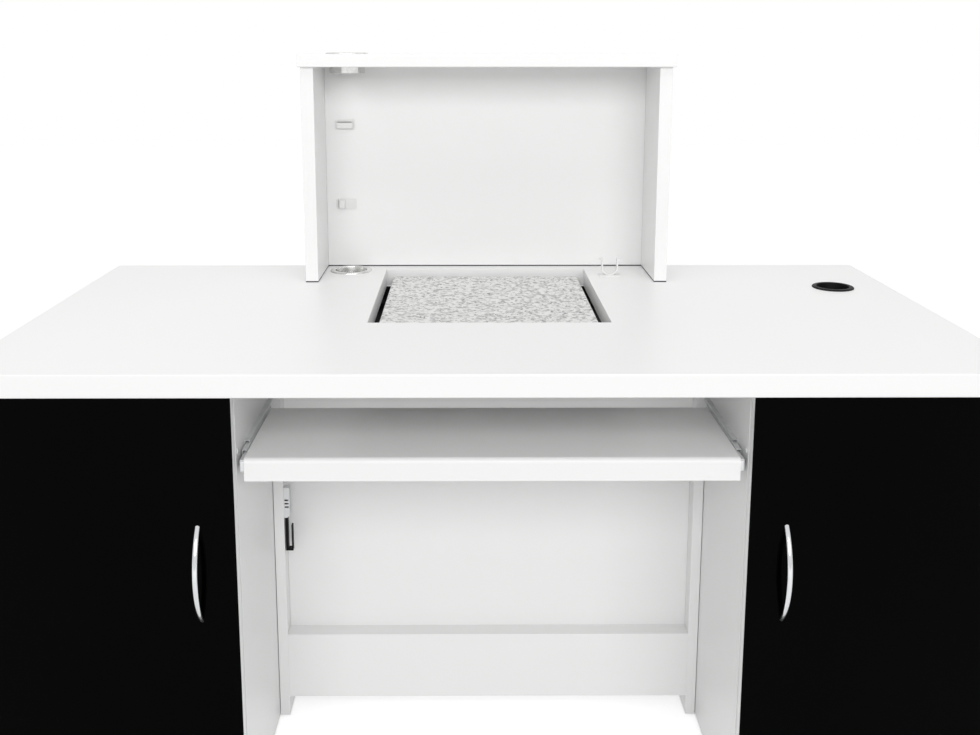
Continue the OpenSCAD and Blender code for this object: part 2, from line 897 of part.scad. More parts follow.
module slide_ball_cages() {
    middle_front = slide_y - slide_drawn / 2;
    rear_cage = middle_front + slide_l - cage_inset - cage_l;
    front_cage = middle_front + cage_inset;
    color("gold") on_both_sides()
        for (side = [-1, 1]) {
            ball_cage(rear_cage, outer_ball_u, side * (middle_half + race_r));
            ball_cage(front_cage, inner_ball_u, side * (inner_half + race_r));
        }
}

module tray_board() {
    color("white") translate([-tray_w / 2, tray_y, tray_z - tray_t])
        rotate([90, 0, 90]) linear_extrude(tray_w) {
            translate([tray_nose_r, 0]) square([tray_d - tray_nose_r, tray_t]);
            square([tray_d, tray_t - tray_nose_r]);
            translate([tray_nose_r, tray_t - tray_nose_r]) circle(tray_nose_r);
        }
}

// Screw heads on the pedestal walls, in front of the slides
module wall_screws() {
    head_t = 1.5;
    screw_front = 77;
    color("dimgray") on_both_sides()
        translate([ped_in, from_front(screw_front), tray_z + wall_screw_d / 2]) rotate([0, -90, 0]) {
            cylinder(h = head_t, d1 = wall_screw_d, d2 = wall_screw_d - 2);
        }
}

// Doors: the frame leaves keep the end knuckles and the door leaves the middle one

module at_hinges() {
    for (z = hinge_zs)
        translate([hinge_x, hinge_y, z]) children();
}

module knuckle(z, h) {
    translate([0, 0, z]) cylinder(h = h, r = knuckle_r);
}

module hinge_bore() {
    translate([0, 0, -hinge_h]) cylinder(h = 2 * hinge_h, r = hinge_pin_r + pin_clear);
}

// Plate of a leaf, y from 'y' on, which reaches the axis only between z0 and z1
module leaf_plate(y, z0, z1) {
    root = hinge_x - ped_out;
    translate([-root - leaf_w, y, -hinge_h / 2]) cube([leaf_w, leaf_t, hinge_h]);
    translate([-root - leaf_w, y, z0]) cube([root + leaf_w, leaf_t, z1 - z0]);
}

module hinge_frame_leaves() {
    color("silver") on_both_sides() at_hinges()
        difference() {
            union() {
                leaf_plate(run_gap / 3, -hinge_h / 2, -knuckle_h / 2 - run_gap);
                leaf_plate(run_gap / 3, knuckle_h / 2 + run_gap, hinge_h / 2);
                knuckle(-hinge_h / 2, knuckle_h - run_gap);
                knuckle(knuckle_h / 2 + run_gap, knuckle_h - run_gap);
            }
            hinge_bore();
        }
}

module hinge_leaves() {
    color("silver") at_hinges()
        difference() {
            union() {
                leaf_plate(-leaf_t - run_gap / 3, -knuckle_h / 2, knuckle_h / 2);
                knuckle(-knuckle_h / 2, knuckle_h);
            }
            hinge_bore();
        }
}

module left_hinge_leaves() {
    on_the_left() hinge_leaves();
}

module right_hinge_leaves() {
    hinge_leaves();
}

module hinge_pins() {
    head_t = 1.5;
    color("silver") on_both_sides() at_hinges() {
        translate([0, 0, -hinge_h / 2]) cylinder(h = hinge_h, r = hinge_pin_r);
        translate([0, 0, hinge_h / 2]) cylinder(h = head_t, r = hinge_pin_r + 1);
    }
}

// Magnetic catch on the inner side board and the plate that it holds on the door
module door_catches() {
    front = door_back + strike_t + run_gap;
    color("whitesmoke") on_both_sides()
        translate([cabinet_in, front, catch_z - catch_h / 2]) cube([catch_w, catch_l, catch_h]);
}

module strike_plate() {
    plate_inset = 1;
    color("silver")
        translate([cabinet_in + plate_inset, door_back, catch_z - catch_h / 2 + plate_inset])
            cube([catch_w - 2 * plate_inset, strike_t, catch_h - 2 * plate_inset]);
}

module left_strike_plate() {
    on_the_left() strike_plate();
}

module right_strike_plate() {
    strike_plate();
}

// Both handle screws lie along Y, through the door
module at_handle_screws() {
    for (side = [-1, 1])
        translate([handle_x, 0, handle_z + side * handle_pitch / 2]) rotate([90, 0, 0]) children();
}

module handle_holes() {
    at_handle_screws() translate([0, 0, -door_back - cut])
        cylinder(h = door_t + 2 * cut, d = handle_screw_d + 2 * run_gap);
}

module door_board() {
    color("white") difference() {
        translate([door_in, door_y + facing_t, door_bottom]) cube([door_w, board_t, door_h]);
        handle_holes();
    }
}

module door_facing() {
    color("black") difference() {
        translate([door_in, door_y, door_bottom]) cube([door_w, facing_t, door_h]);
        handle_holes();
    }
}

// Bow bent to a circle, with feet cut flat against the door
module handle() {
    centre_y = door_y + bow_r - handle_reach;
    color("silver") difference() {
        intersection() {
            translate([handle_x, centre_y, handle_z]) rotate([0, 90, 0]) union() {
                rotate_extrude($fn = 96)
                    translate([bow_r - bow_t, -bow_w / 2]) round_rect(bow_t, bow_w, bow_t / 2 - 0.5);
            }
            translate([handle_x - bow_w, door_y - 2 * handle_reach, handle_z - bow_r])
                cube([2 * bow_w, 2 * handle_reach, 2 * bow_r]);
        }
        at_handle_screws() translate([0, 0, -door_y - cut])
            cylinder(h = handle_hole_depth + cut, d = handle_screw_d);
    }
}

module handle_screws() {
    color("silver") at_handle_screws() {
        translate([0, 0, -door_back])
            cylinder(h = door_t + handle_hole_depth - run_gap, d = handle_screw_d - 2 * pin_clear);
        translate([0, 0, -door_back - screw_head_t])
            cylinder(h = screw_head_t, d = 2 * handle_screw_d);
    }
}

module left_door_board() {
    on_the_left() door_board();
}

module left_door_facing() {
    on_the_left() door_facing();
}

module left_handle() {
    on_the_left() handle();
}

module left_handle_screws() {
    on_the_left() handle_screws();
}

module right_door_board() {
    door_board();
}

module right_door_facing() {
    door_facing();
}

module right_handle() {
    handle();
}

module right_handle_screws() {
    handle_screws();
}

worktop();
stone_plate();
stone_rests();
stand_side_left();
stand_side_right();
stand_deck();
stand_front_panel();
stand_lower_rail();
stand_rear_rail();
left_outer_side();
left_inner_side();
left_bottom();
left_shelf();
left_back();
left_top_rails();
right_outer_side();
right_inner_side();
right_bottom();
right_shelf();
right_back();
right_top_rails();
shelf_pins();
plinth_boards();
tie_board();
floor_glides();
bridge_seal();
bridge_side_left();
bridge_side_right();
bridge_top();
bridge_back();
desk_outlet();
shelf_outlet();
black_outlet();
cable_clip_upper();
cable_clip_lower();
cable_fork();
cable_hook_bracket();
cable_hook();
cable_hook_screws();
slide_outers();
slide_middles();
slide_ball_cages();
slide_inners();
tray_board();
wall_screws();
hinge_frame_leaves();
hinge_pins();
door_catches();
left_hinge_leaves();
left_door_board();
left_door_facing();
left_handle();
left_handle_screws();
left_strike_plate();
right_hinge_leaves();
right_door_board();
right_door_facing();
right_handle();
right_handle_screws();
right_strike_plate();
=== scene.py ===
import json
import math

import bpy
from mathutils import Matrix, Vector


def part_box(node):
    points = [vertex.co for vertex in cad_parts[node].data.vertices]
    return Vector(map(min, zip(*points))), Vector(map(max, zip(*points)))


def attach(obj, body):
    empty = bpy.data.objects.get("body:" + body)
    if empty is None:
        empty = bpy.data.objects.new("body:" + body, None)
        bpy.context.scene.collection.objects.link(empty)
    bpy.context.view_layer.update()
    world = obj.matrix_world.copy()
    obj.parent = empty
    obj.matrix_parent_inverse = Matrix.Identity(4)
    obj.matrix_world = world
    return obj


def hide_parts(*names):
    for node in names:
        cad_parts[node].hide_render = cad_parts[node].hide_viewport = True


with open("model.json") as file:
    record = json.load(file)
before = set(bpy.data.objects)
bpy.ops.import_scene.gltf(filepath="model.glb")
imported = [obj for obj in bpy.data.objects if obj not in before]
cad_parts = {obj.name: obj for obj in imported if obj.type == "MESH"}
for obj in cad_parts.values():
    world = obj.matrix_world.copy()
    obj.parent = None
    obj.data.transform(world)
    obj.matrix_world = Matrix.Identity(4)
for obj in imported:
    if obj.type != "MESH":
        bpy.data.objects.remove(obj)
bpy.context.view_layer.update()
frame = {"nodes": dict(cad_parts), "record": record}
nodes = frame["nodes"]
slots = {row["node"]: row["material_slot"] for row in frame["record"]["subparts"]}
print("frame loaded:", len(nodes), "nodes")

# Camera: eye level a little above the bridge shelf, in front of the knee space
cameraSettings = {
    "place": (-0.0380, -1.8882, 1.2436),
    "pitchDown": 10.12,
    "yaw": 0.24,
    "lens": 39.19,
    "sensorWidth": 36,
    "shift": (0.0185, -0.13),
    "clip": (0.05, 60),
}


def makeCamera(values):
    data = bpy.data.cameras.new("camera")
    data.lens = values["lens"]
    data.sensor_width = values["sensorWidth"]
    data.shift_x, data.shift_y = values["shift"]
    data.clip_start, data.clip_end = values["clip"]
    camera = bpy.data.objects.new("camera", data)
    camera.location = values["place"]
    camera.rotation_euler = (math.radians(90 - values["pitchDown"]), 0, math.radians(-values["yaw"]))
    bpy.context.scene.collection.objects.link(camera)
    bpy.context.scene.camera = camera


makeCamera(cameraSettings)
print("camera placed")


# Helpers for modelling with operators

# Points closer than this are merged, edges sharper than this are bevelled, and a face whose normal
# has more than this share along an axis counts as facing that way
meshLimits = {"merge": 0.000005, "bevelAngle": 30, "facing": 0.9}


def deselectAll():
    bpy.ops.object.select_all(action="DESELECT")


def pickOnly(piece):
    deselectAll()
    piece.select_set(True)
    bpy.context.view_layer.objects.active = piece


def nameNew(name):
    piece = bpy.context.object
    piece.name = name
    piece.data.name = name
    return piece


def editAll(piece):
    pickOnly(piece)
    bpy.ops.object.mode_set(mode="EDIT")
    bpy.ops.mesh.select_all(action="SELECT")


def leaveEdit():
    bpy.ops.object.mode_set(mode="OBJECT")


def applyPlace(piece):
    pickOnly(piece)
    bpy.ops.object.transform_apply(location=True, rotation=True, scale=True)


def applyModifiers(piece):
    pickOnly(piece)
    for modifier in list(piece.modifiers):
        bpy.ops.object.modifier_apply(modifier=modifier.name)


def cleanMesh(piece, smoothAngle=35):
    editAll(piece)
    bpy.ops.mesh.remove_doubles(threshold=meshLimits["merge"])
    bpy.ops.mesh.normals_make_consistent(inside=False)
    leaveEdit()
    bpy.ops.object.shade_smooth_by_angle(angle=math.radians(smoothAngle))


def bevelPiece(piece, width, segments):
    modifier = piece.modifiers.new("bevel", "BEVEL")
    modifier.width = width
    modifier.segments = segments
    modifier.limit_method = "ANGLE"
    modifier.angle_limit = math.radians(meshLimits["bevelAngle"])
    applyModifiers(piece)


def roundFace(piece, wanted, offset, segments):
    # Rounds the edges of the faces whose normal passes the test
    pickOnly(piece)
    bpy.ops.object.mode_set(mode="EDIT")
    bpy.context.tool_settings.mesh_select_mode = (False, False, True)
    bpy.ops.mesh.select_all(action="DESELECT")
    leaveEdit()
    for face in piece.data.polygons:
        face.select = wanted(face.normal)
    bpy.ops.object.mode_set(mode="EDIT")
    bpy.ops.mesh.bevel(offset=offset, segments=segments, affect="EDGES")
    leaveEdit()


def addBox(name, low, high):
    deselectAll()
    centre = [(a + b) / 2 for a, b in zip(low, high)]
    bpy.ops.mesh.primitive_cube_add(size=1, location=centre)
    piece = nameNew(name)
    piece.scale = [b - a for a, b in zip(low, high)]
    applyPlace(piece)
    return piece


def joinPieces(pieces, name):
    deselectAll()
    for piece in pieces:
        piece.select_set(True)
    bpy.context.view_layer.objects.active = pieces[0]
    bpy.ops.object.join()
    return nameNew(name)


def cutAway(piece, cutter):
    modifier = piece.modifiers.new("cut", "BOOLEAN")
    modifier.operation = "DIFFERENCE"
    modifier.solver = "EXACT"
    modifier.object = cutter
    applyModifiers(piece)


def removePiece(piece):
    mesh = piece.data
    bpy.data.objects.remove(piece)
    bpy.data.meshes.remove(mesh)


def turnOnAxis(name, place, profile, sides):
    # Ring drawn as a circle, then extruded, resized and lifted once for each point of its profile
    deselectAll()
    radius, height = profile[0]
    bpy.ops.mesh.primitive_circle_add(
        vertices=sides, radius=radius, location=(place[0], place[1], place[2] + height)
    )
    piece = nameNew(name)
    bpy.ops.object.mode_set(mode="EDIT")
    bpy.ops.mesh.select_all(action="SELECT")
    for nextRadius, nextHeight in profile[1:] + profile[:1]:
        step = nextRadius / radius
        bpy.ops.mesh.extrude_edges_move()
        bpy.ops.transform.resize(value=(step, step, 1))
        bpy.ops.transform.translate(value=(0, 0, nextHeight - height))
        radius, height = nextRadius, nextHeight
    leaveEdit()
    applyPlace(piece)
    cleanMesh(piece)
    return piece


def finishPiece(piece, body, slotName, replaced=()):
    piece.data.materials.clear()
    piece.data.materials.append(materials[slotName])
    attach(piece, body)
    if replaced:
        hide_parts(*replaced)


# Helpers for shader nodes: a value is either a socket to link or a constant

def feed(tree, socket, value):
    if isinstance(value, bpy.types.NodeSocket):
        tree.links.new(value, socket)
    else:
        socket.default_value = value


def addNode(tree, kind, inputs=None, **settings):
    node = tree.nodes.new(kind)
    for key, value in settings.items():
        setattr(node, key, value)
    for key, value in (inputs or {}).items():
        feed(tree, node.inputs[key], value)
    return node


def rangeNode(tree, value, spread, toLow=0.0, toHigh=1.0):
    return addNode(
        tree, "ShaderNodeMapRange",
        {"Value": value, "From Min": spread[0], "From Max": spread[1], "To Min": toLow, "To Max": toHigh},
    ).outputs["Result"]


def mathNode(tree, operation, *values):
    node = addNode(tree, "ShaderNodeMath", dict(enumerate(values)), operation=operation)
    return node.outputs["Value"]


def vectorNode(tree, operation, *values, output="Vector"):
    node = addNode(tree, "ShaderNodeVectorMath", dict(enumerate(values)), operation=operation)
    return node.outputs[output]


def mixColours(tree, factor, first, second):
    # The sockets of the colour mode are told apart by number, because all modes share their names
    node = addNode(tree, "ShaderNodeMix", data_type="RGBA")
    for number, value in ((0, factor), (6, first), (7, second)):
        feed(tree, node.inputs[number], value)
    return node.outputs[2]


def mixShaders(tree, factor, first, second):
    node = addNode(tree, "ShaderNodeMixShader", {0: factor, 1: first, 2: second})
    return node.outputs["Shader"]


def opaque(colour):
    return (*colour, 1)


# Shared shader groups

def startGroup(name, inputs, outputs):
    tree = bpy.data.node_groups.new(name, "ShaderNodeTree")
    for label, kind in inputs:
        tree.interface.new_socket(name=label, in_out="INPUT", socket_type="NodeSocket" + kind)
    for label, kind in outputs:
        tree.interface.new_socket(name=label, in_out="OUTPUT", socket_type="NodeSocket" + kind)
    return tree, tree.nodes.new("NodeGroupInput").outputs, tree.nodes.new("NodeGroupOutput").inputs


# The middle part of a noise, which is stretched over the whole span between two values
noiseSpan = {
    "smudges": (0.35, 0.65), "toneDrift": (0.3, 0.7), "rolledLines": (0.3, 0.7), "rings": (0.3, 0.7),
}


def makeFineGrain():
    # Fine relief of moulded and pressed surfaces
    tree, start, end = startGroup(
        "fineGrain", [("Vector", "Vector"), ("Scale", "Float")], [("Height", "Float")],
    )
    noise = addNode(tree, "ShaderNodeTexNoise", {
        "Vector": start["Vector"], "Scale": start["Scale"], "Detail": 2.0, "Roughness": 0.55,
    })
    tree.links.new(noise.outputs["Fac"], end["Height"])
    return tree


def makeSmudges():
    # Slow drift between two values, as hands and wiping leave on a surface
    tree, start, end = startGroup(
        "smudges", [("Vector", "Vector"), ("Scale", "Float"), ("Low", "Float"), ("High", "Float")],
        [("Value", "Float")],
    )
    noise = addNode(tree, "ShaderNodeTexNoise", {
        "Vector": start["Vector"], "Scale": start["Scale"], "Detail": 4.0, "Roughness": 0.6,
    })
    result = rangeNode(tree, noise.outputs["Fac"], noiseSpan["smudges"], start["Low"], start["High"])
    tree.links.new(result, end["Value"])
    return tree


def makeToneDrift():
    # Slight change of shade over a broad surface
    tree, start, end = startGroup(
        "toneDrift", [("Vector", "Vector"), ("Scale", "Float"), ("Shade", "Color"), ("Light", "Color")],
        [("Color", "Color")],
    )
    noise = addNode(tree, "ShaderNodeTexNoise", {
        "Vector": start["Vector"], "Scale": start["Scale"], "Detail": 3.0, "Roughness": 0.5,
    })
    share = rangeNode(tree, noise.outputs["Fac"], noiseSpan["toneDrift"])
    tree.links.new(mixColours(tree, share, start["Shade"], start["Light"]), end["Color"])
    return tree


def makeRolledLines():
    # Fine lines along one direction, from rolling, drawing or brushing
    tree, start, end = startGroup(
        "rolledLines", [("Vector", "Vector"), ("Stretch", "Vector"), ("Low", "Float"), ("High", "Float")],
        [("Roughness", "Float"), ("Height", "Float")],
    )
    stretched = vectorNode(tree, "MULTIPLY", start["Vector"], start["Stretch"])
    noise = addNode(tree, "ShaderNodeTexNoise", {
        "Vector": stretched, "Scale": 1.0, "Detail": 3.0, "Roughness": 0.6,
    })
    result = rangeNode(tree, noise.outputs["Fac"], noiseSpan["rolledLines"], start["Low"], start["High"])
    tree.links.new(result, end["Roughness"])
    tree.links.new(noise.outputs["Fac"], end["Height"])
    return tree


groups = {
    "fineGrain": makeFineGrain(),
    "smudges": makeSmudges(),
    "toneDrift": makeToneDrift(),
    "rolledLines": makeRolledLines(),
}
print("shader groups made:", len(groups))


# Materials, one for each finish

# Height in metres of the relief at full strength
reliefHeight = {"grain": 0.0005, "lines": 0.0003}


def placeGroup(tree, name, inputs):
    return addNode(tree, "ShaderNodeGroup", inputs, node_tree=groups[name]).outputs


def startMaterial(name, shaderValues):
    material = bpy.data.materials.new(name)
    material.use_nodes = True
    tree = material.node_tree
    shader = tree.nodes["Principled BSDF"]
    for key, value in shaderValues.items():
        shader.inputs[key].default_value = value
    place = tree.nodes.new("ShaderNodeTexCoord").outputs["Object"]
    return material, tree, shader, place


def feedColour(tree, shader, place, values):
    drift = placeGroup(tree, "toneDrift", {
        "Vector": place, "Scale": values["driftScale"],
        "Shade": opaque(values["shade"]), "Light": opaque(values["light"]),
    })
    tree.links.new(drift["Color"], shader.inputs["Base Color"])


def feedRelief(tree, shader, height, strength, distance):
    bump = addNode(tree, "ShaderNodeBump", {"Strength": strength, "Distance": distance, "Height": height})
    tree.links.new(bump.outputs["Normal"], shader.inputs["Normal"])


def makeSolidFinish(name, values):
    # Painted, moulded and laminated finishes: shade drift, smudges and a fine relief
    material, tree, shader, place = startMaterial(name, {"Specular IOR Level": values.get("specular", 0.5)})
    feedColour(tree, shader, place, values)
    low, high = values["rough"]
    smudges = placeGroup(tree, "smudges", {
        "Vector": place, "Scale": values["smudgeScale"], "Low": low, "High": high,
    })
    tree.links.new(smudges["Value"], shader.inputs["Roughness"])
    grain = placeGroup(tree, "fineGrain", {"Vector": place, "Scale": values["grainScale"]})
    feedRelief(tree, shader, grain["Height"], values["relief"], reliefHeight["grain"])
    return material


def makeMetalFinish(name, values):
    # Bare and plated metal: lines along the way that it was drawn
    material, tree, shader, place = startMaterial(name, {"Metallic": values.get("metallic", 1.0)})
    feedColour(tree, shader, place, values)
    low, high = values["rough"]
    lines = placeGroup(tree, "rolledLines", {
        "Vector": place, "Stretch": values["stretch"], "Low": low, "High": high,
    })
    tree.links.new(lines["Roughness"], shader.inputs["Roughness"])
    feedRelief(tree, shader, lines["Height"], values["relief"], reliefHeight["lines"])
    return material


laminateFinish = {
    "shade": (0.84, 0.84, 0.837), "light": (0.86, 0.86, 0.857), "driftScale": 1.2,
    "rough": (0.33, 0.37), "smudgeScale": 2.5, "grainScale": 700.0, "relief": 0.02,
}
blackGlossFinish = {
    "shade": (0.0003, 0.0003, 0.0003), "light": (0.0007, 0.0007, 0.0007), "driftScale": 2.0,
    "rough": (0.06, 0.10), "smudgeScale": 6.0, "grainScale": 60.0, "relief": 0.01, "specular": 0.022,
}
whitePlasticFinish = {
    "shade": (0.76, 0.76, 0.755), "light": (0.80, 0.80, 0.795), "driftScale": 30.0,
    "rough": (0.34, 0.44), "smudgeScale": 40.0, "grainScale": 2500.0, "relief": 0.08,
}
blackPlasticFinish = {
    "shade": (0.004, 0.004, 0.004), "light": (0.007, 0.007, 0.007), "driftScale": 30.0, "specular": 0.12,
    "rough": (0.42, 0.55), "smudgeScale": 40.0, "grainScale": 2200.0, "relief": 0.15,
}
# Black rubber for the real rubber parts; the thin black strip under the bridge also takes it, as a painted
# shadow line at the bridge's foot
rubberAndShadowLineFinish = {
    "shade": (0.006, 0.006, 0.006), "light": (0.010, 0.010, 0.010), "driftScale": 20.0, "specular": 0.15,
    "rough": (0.7, 0.85), "smudgeScale": 40.0, "grainScale": 1500.0, "relief": 0.3,
}
glideFinish = {
    "shade": (0.08, 0.08, 0.08), "light": (0.12, 0.12, 0.12), "driftScale": 30.0,
    "rough": (0.45, 0.6), "smudgeScale": 40.0, "grainScale": 1800.0, "relief": 0.15,
}
zincFinish = {
    "shade": (0.70, 0.71, 0.72), "light": (0.78, 0.79, 0.80), "driftScale": 40.0, "metallic": 0.35,
    "rough": (0.3, 0.42), "stretch": (1200.0, 25.0, 1200.0), "relief": 0.05,
}
# Painted shade: the black deck board and its lips stand in for the darkness seen through the gaps beside the
# stone
blackBoardPaintedShadeFinish = {
    "shade": (0.004, 0.004, 0.004), "light": (0.006, 0.006, 0.006), "driftScale": 4.0, "specular": 0.15,
    "rough": (0.5, 0.6), "smudgeScale": 6.0, "grainScale": 900.0, "relief": 0.05,
}
brassFinish = {
    "shade": (0.55, 0.38, 0.14), "light": (0.68, 0.50, 0.22), "driftScale": 60.0,
    "rough": (0.25, 0.4), "stretch": (1200.0, 40.0, 1200.0), "relief": 0.08,
}
chromeFinish = {
    "shade": (0.60, 0.61, 0.62), "light": (0.68, 0.69, 0.70), "driftScale": 12.0,
    "rough": (0.10, 0.16), "stretch": (120.0, 120.0, 60.0), "relief": 0.01,
}
graniteFinish = {
    "grainScale": 150.0, "streakScale": 110.0, "fleckScale": 240.0, "crowdScale": 120.0,
    # how far the grains' outlines are bent, and over what distance
    "bendReach": 0.006, "bendScale": 160.0,
    # how much a grain's own shade departs from the streaks, and where both turn from pale to grey
    "grainSpread": 0.16, "greySpan": (0.46, 0.70),
    "darkSpan": (0.47, 0.55),
    "pale": (0.77, 0.77, 0.76), "middle": (0.35, 0.35, 0.345), "dark": (0.10, 0.10, 0.105),
    "specular": 0.4, "rough": (0.30, 0.5), "relief": 0.06,
}
turnedFinish = {
    "centre": (-0.286, 0.342, 0.0), "ringScale": 2600.0,
    "shade": (0.62, 0.62, 0.61), "light": (0.82, 0.82, 0.81), "driftScale": 60.0,
    "rough": (0.14, 0.26), "relief": 0.05,
}


def makeGranite(values):
    # Pale quartz, grey feldspar in crooked grains and a few dark flecks
    material, tree, shader, place = startMaterial("granite", {"Specular IOR Level": values["specular"]})
    bend = addNode(tree, "ShaderNodeTexNoise", {
        "Vector": place, "Scale": values["bendScale"], "Detail": 3.0, "Roughness": 0.6,
    })
    bent = vectorNode(tree, "MULTIPLY_ADD", bend.outputs["Color"], [values["bendReach"]] * 3, place)
    grains = addNode(tree, "ShaderNodeTexVoronoi", {"Vector": bent, "Scale": values["grainScale"]})
    shades = addNode(tree, "ShaderNodeSeparateColor", {"Color": grains.outputs["Color"]})
    streaks = addNode(tree, "ShaderNodeTexNoise", {
        "Vector": bent, "Scale": values["streakScale"], "Detail": 3.0, "Roughness": 0.62,
    })
    spread = values["grainSpread"]
    grainShade = rangeNode(tree, shades.outputs["Red"], (0.0, 1.0), -spread, spread)
    mixed = mathNode(tree, "ADD", grainShade, streaks.outputs["Fac"])
    greyShare = rangeNode(tree, mixed, values["greySpan"])
    base = mixColours(tree, greyShare, opaque(values["pale"]), opaque(values["middle"]))
    flecks = addNode(tree, "ShaderNodeTexVoronoi", {"Vector": bent, "Scale": values["fleckScale"]})
    fleckTone = addNode(tree, "ShaderNodeSeparateColor", {"Color": flecks.outputs["Color"]})
    crowd = addNode(tree, "ShaderNodeTexNoise", {
        "Vector": place, "Scale": values["crowdScale"], "Detail": 2.0,
    })
    both = mathNode(tree, "MULTIPLY", fleckTone.outputs["Green"], crowd.outputs["Fac"])
    darkShare = rangeNode(tree, both, values["darkSpan"])
    tree.links.new(mixColours(tree, darkShare, base, opaque(values["dark"])), shader.inputs["Base Color"])
    roughness = rangeNode(tree, shades.outputs["Blue"], (0.0, 1.0), *values["rough"])
    tree.links.new(roughness, shader.inputs["Roughness"])
    feedRelief(tree, shader, mixed, values["relief"], reliefHeight["grain"])
    return material


def makeTurnedMetal(values):
    # Rings left by the lathe round the outlets' common axis
    material, tree, shader, place = startMaterial("turnedSteel", {"Metallic": 1.0})
    fromAxis = vectorNode(tree, "SUBTRACT", place, values["centre"])
    flat = vectorNode(tree, "MULTIPLY", fromAxis, (1, 1, 0))
    reach = vectorNode(tree, "LENGTH", flat, output="Value")
    rings = addNode(
        tree, "ShaderNodeTexNoise", {"W": reach, "Scale": values["ringScale"], "Detail": 2.0},
        noise_dimensions="1D",
    )
    feedColour(tree, shader, place, values)
    roughness = rangeNode(tree, rings.outputs["Fac"], noiseSpan["rings"], *values["rough"])
    tree.links.new(roughness, shader.inputs["Roughness"])
    feedRelief(tree, shader, rings.outputs["Fac"], values["relief"], reliefHeight["lines"])
    return material


materials = {
    "white_laminate": makeSolidFinish("whiteLaminate", laminateFinish),
    "granite": makeGranite(graniteFinish),
    # partly painted shade: the black strip under the bridge stands in for the bridge's shadow line
    "rubber": makeSolidFinish("blackRubberAndShadowLine", rubberAndShadowLineFinish),
    # painted shade: the black deck board seen through the gaps beside the stone
    "black_board": makeSolidFinish("blackBoardPaintedShade", blackBoardPaintedShadeFinish),
    "glide_plastic": makeSolidFinish("greyGlide", glideFinish),
    "brushed_outlet": makeTurnedMetal(turnedFinish),
    "black_plastic": makeSolidFinish("blackPlastic", blackPlasticFinish),
    "white_plastic": makeSolidFinish("whitePlastic", whitePlasticFinish),
    "zinc_steel": makeMetalFinish("zincSteel", zincFinish),
    "brass_cage": makeMetalFinish("brassCage", brassFinish),
    "black_gloss": makeSolidFinish("blackGloss", blackGlossFinish),
    "chrome": makeMetalFinish("polishedChrome", chromeFinish),
}
print("materials made:", len(materials))


# CAD nodes: each takes its finish, and boards and plates get softly broken edges

edgeWidths = {
    "white_laminate": 0.0006, "granite": 0.0005, "black_board": 0.0006, "rubber": 0.0004,
    "black_gloss": 0.0003, "white_plastic": 0.0004, "black_plastic": 0.0004, "zinc_steel": 0.00015,
}
edgeSettings = {"merge": 0.00001, "segments": 2, "angle": 40, "normalWeight": 80}
# Nodes with these words in their names are small and round, and keep their edges
roundNodes = ("outlet", "screws", "pins", "glides", "cages", "handle")


def dressNodes(values):
    for name, node in nodes.items():
        slotName = slots[name]
        node.data.materials.clear()
        node.data.materials.append(materials[slotName])
        if slotName not in edgeWidths or any(word in name for word in roundNodes):
            continue
        weld = node.modifiers.new("weld", "WELD")
        weld.merge_threshold = values["merge"]
        bevel = node.modifiers.new("bevel", "BEVEL")
        bevel.width = edgeWidths[slotName]
        bevel.segments = values["segments"]
        bevel.limit_method = "ANGLE"
        bevel.angle_limit = math.radians(values["angle"])
        bevel.harden_normals = False
        normals = node.modifiers.new("normals", "WEIGHTED_NORMAL")
        normals.keep_sharp = False
        normals.weight = values["normalWeight"]


dressNodes(edgeSettings)
print("CAD nodes dressed")


# Cable outlets: turned rings with a stepped flange and a rounded rim

outletRing = {
    "sides": 96, "chamfer": 0.0005, "rim": 0.0012,
    # points in lengths of the rim: out from the bore and down from the top
    "mouth": [(0.0, 1.6), (0.25, 0.6), (0.8, 0.1), (1.5, 0.0)],
    # in from the flange's edge and down from the top
    "flange": [(3.4, 0.0), (3.1, 0.25), (1.6, 0.35), (0.6, 0.8), (0.12, 1.5)],
    # in from the flange's edge and up from the board
    "foot": [(0.0, 0.2), (0.1, 0.0)],
}
metalOutlet = {"slot": "brushed_outlet", "bore": 0.0335, "sleeve": 0.0365}
blackOutlet = {"slot": "black_plastic", "bore": 0.031, "sleeve": 0.035}


def makeOutlet(node, board, values):
    low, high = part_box(node)
    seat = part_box(board)[1].z
    place = ((low.x + high.x) / 2, (low.y + high.y) / 2, 0)
    edge = (high.x - low.x) / 2
    bore, sleeve, chamfer, rim = values["bore"], values["sleeve"], values["chamfer"], values["rim"]
    profile = [(bore, low.z + chamfer)]
    profile += [(bore + out * rim, high.z - down * rim) for out, down in values["mouth"]]
    profile += [(edge - inward * rim, high.z - down * rim) for inward, down in values["flange"]]
    profile += [(edge - inward * rim, seat + up * rim) for inward, up in values["foot"]]
    profile += [(sleeve, seat), (sleeve, low.z + chamfer), (sleeve - chamfer, low.z), (bore + chamfer, low.z)]
    piece = turnOnAxis(node + "_ring", place, profile, values["sides"])
    finishPiece(piece, "root", values["slot"], (node,))


makeOutlet("desk_outlet", "worktop", {**outletRing, **metalOutlet})
makeOutlet("shelf_outlet", "bridge_top", {**outletRing, **metalOutlet})
makeOutlet("black_outlet", "worktop", {**outletRing, **blackOutlet})
print("outlets turned")


# Bow handles: an oval section spun about the bow's centre and cut flat at the door

bowHandle = {
    "width": 0.0085, "thickness": 0.0072, "sectionSides": 24, "steps": 56, "overrun": 5.0, "smoothAngle": 50,
}


